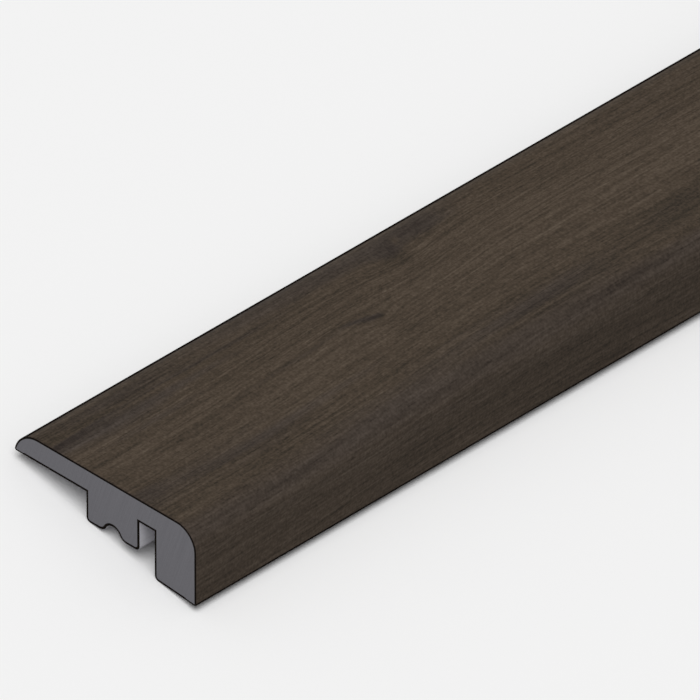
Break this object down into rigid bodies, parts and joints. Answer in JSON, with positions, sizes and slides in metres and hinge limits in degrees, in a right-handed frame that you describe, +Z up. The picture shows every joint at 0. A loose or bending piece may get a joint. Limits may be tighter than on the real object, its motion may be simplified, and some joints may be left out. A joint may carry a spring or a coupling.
{
  "type": "square stair nosing",
  "caption": "Wood-look stair nosing: long moulded strip with a flat tread face, round nose, downturned foot, thin lip that laps the floor plank, and grooved web beneath.",
  "frame": {"origin": "middle of the bounding box's underside, on the floor that it lies on", "axes": "+X along the stock's length, -Y the way the nose faces, +Z up; the section leans back 13.5 degrees on its heel and its web, as it lies when nothing holds it"},
  "size_m": [1.2, 0.0558, 0.0193],
  "materials": {
    "moulding": "satin dark walnut print on a grey moulding"
  },
  "bodies": {
    "root": {"stair_nosing": "moulding"}
  },
  "joints": []
}
